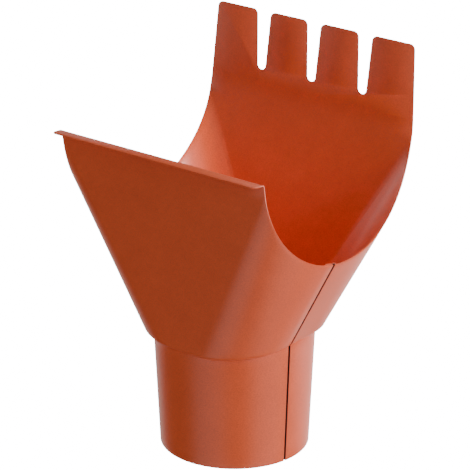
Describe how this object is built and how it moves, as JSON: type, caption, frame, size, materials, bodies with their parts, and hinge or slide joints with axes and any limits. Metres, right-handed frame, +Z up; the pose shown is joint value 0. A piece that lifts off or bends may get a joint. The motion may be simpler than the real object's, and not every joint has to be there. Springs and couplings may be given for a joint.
{
  "type": "gutter outlet",
  "caption": "Folded sheet-steel outlet for a half-round gutter: front lip, curved gutter seat, slotted back apron, funnel and tapered downpipe spigot.",
  "frame": {"origin": "on the spigot's axis, in the plane of its bottom rim", "axes": "+X along the gutter, towards the side that holds the lock seam; -Y towards the front lip; +Y towards the wall and the slotted apron; +Z up, from the spigot to the gutter"},
  "size_m": [0.144, 0.138, 0.2192],
  "materials": {
    "coated_steel": "satin brick-red coating with a fine grain"
  },
  "bodies": {
    "root": {"outlet": "coated_steel"}
  },
  "joints": []
}
